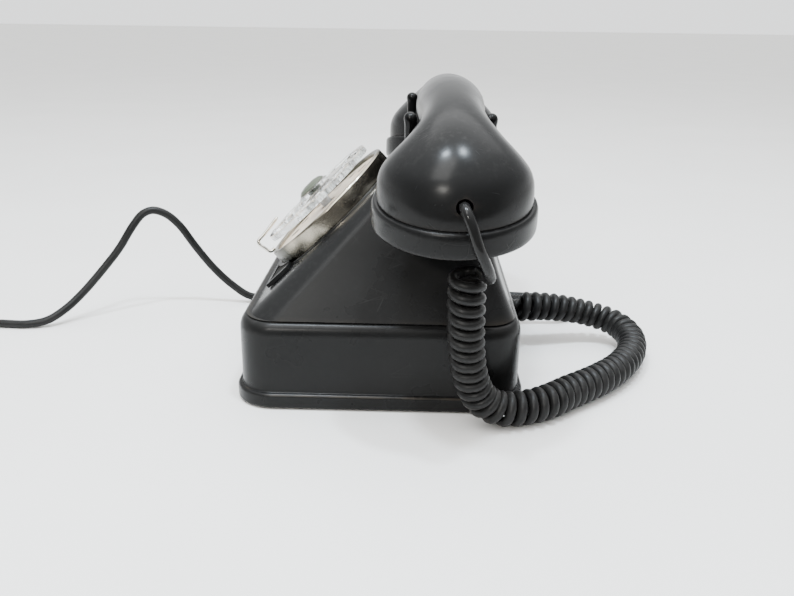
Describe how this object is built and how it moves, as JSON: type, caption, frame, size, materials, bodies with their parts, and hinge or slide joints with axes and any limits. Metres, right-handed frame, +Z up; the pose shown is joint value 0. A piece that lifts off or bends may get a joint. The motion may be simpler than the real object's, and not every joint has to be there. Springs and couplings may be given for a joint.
{
  "type": "rotary dial table telephone",
  "caption": "Old black table telephone with a sloping dial front, a four-horned cradle, a lift-off handset on a curly cord and a coiled line cord with its plug.",
  "frame": {"origin": "centre of the footprint at the bottom of the feet, cords left out", "axes": "+X is the user's right, along the handset; -Y is the dial side; +Z is up"},
  "size_m": [0.2449, 0.4684, 0.1508],
  "materials": {
    "bakelite": "worn satin black bakelite",
    "horn": "polished black",
    "nickel": "worn nickel plate",
    "cream": "cream enamel",
    "clear": "clear plastic",
    "hub": "dark grey card under a clear dome",
    "rubber": "dusty dark rubber",
    "steel": "zinc plated",
    "brass": "dull brass",
    "copper": "enamelled copper winding",
    "fibre": "brown fibre board"
  },
  "bodies": {
    "root": {"housing": "bakelite", "label_frame": "bakelite", "plug_body": "bakelite", "cradle": "horn", "dial_case": "nickel", "finger_stop": "nickel", "dial_number_plate": "cream", "foot_1": "rubber", "foot_2": "rubber", "foot_3": "rubber", "foot_4": "rubber", "handset_cord_coil": "rubber", "line_cord": "rubber", "line_cord_coil": "rubber", "line_cord_tail": "rubber", "handset_cord_grommet": "rubber", "line_cord_grommet": "rubber", "base_plate": "steel", "hook_bearing_left": "steel", "hook_bearing_right": "steel", "ringer_frame": "steel", "gong_screw_left": "steel", "gong_screw_right": "steel", "capacitor": "steel", "base_screw_1": "brass", "base_screw_2": "brass", "base_screw_3": "brass", "base_screw_4": "brass", "dial_mechanism_plate": "brass", "dial_pillar_1": "brass", "dial_pillar_2": "brass", "dial_pillar_3": "brass", "gong_left": "brass", "gong_right": "brass", "plug_pin_1": "brass", "plug_pin_2": "brass", "plug_pin_3": "brass", "plug_pin_4": "brass", "ringer_coil_left": "copper", "ringer_coil_right": "copper", "induction_coil": "copper", "hook_contacts": "fibre", "terminal_block": "fibre"},
    "handset": {"handset_body": "bakelite", "transmitter_cap": "bakelite", "receiver_cap": "bakelite", "transmitter_capsule": "steel", "receiver_capsule": "steel", "handset_cord_lead": "rubber"},
    "finger_wheel": {"finger_wheel": "clear", "dial_hub": "hub", "dial_shaft": "steel", "dial_gear": "brass"},
    "governor": {"governor": "steel", "governor_pinion": "brass"},
    "hook_plunger_left": {"hook_plunger_left": "nickel"},
    "hook_plunger_right": {"hook_plunger_right": "nickel"},
    "hook_lever": {"hook_lever": "steel"},
    "ringer_clapper": {"ringer_clapper": "brass"}
  },
  "joints": [
    {"name": "handset_lift", "type": "slide", "parent": "root", "child": "handset", "axis": [0, 0, 1], "range_m": [0, 0.12]},
    {"name": "dial_turn", "type": "hinge", "parent": "root", "child": "finger_wheel", "pos_m": [0, -0.0321, 0.0859], "axis": [0, 0.6972, -0.7169], "range_deg": [0, 330], "stiffness_Nm_per_rad": 0.008, "springref_deg": -45.84},
    {"name": "governor_spin", "type": "hinge", "parent": "root", "child": "governor", "pos_m": [0.025, -0.0321, 0.0859], "axis": [0, 0.6972, -0.7169], "range_deg": [-1320, 0]},
    {"name": "hook_press_left", "type": "slide", "parent": "root", "child": "hook_plunger_left", "axis": [0, 0, 1], "range_m": [0, 0.006]},
    {"name": "hook_press_right", "type": "slide", "parent": "root", "child": "hook_plunger_right", "axis": [0, 0, 1], "range_m": [0, 0.006]},
    {"name": "hook_lever_turn", "type": "hinge", "parent": "root", "child": "hook_lever", "pos_m": [0, 0.014, 0.097], "axis": [1, 0, 0], "range_deg": [0, 17.2]},
    {"name": "clapper_swing", "type": "hinge", "parent": "root", "child": "ringer_clapper", "pos_m": [0, 0.008, 0.029], "axis": [0, 0, 1], "range_deg": [-9, 9]}
  ],
  "couplings": [
    {"joint": "governor_spin", "follows": "dial_turn", "ratio": -4},
    {"joint": "hook_press_left", "follows": "handset_lift", "ratio": 0.05},
    {"joint": "hook_press_right", "follows": "handset_lift", "ratio": 0.05},
    {"joint": "hook_lever_turn", "follows": "handset_lift", "rad_per_m": 2.5}
  ]
}
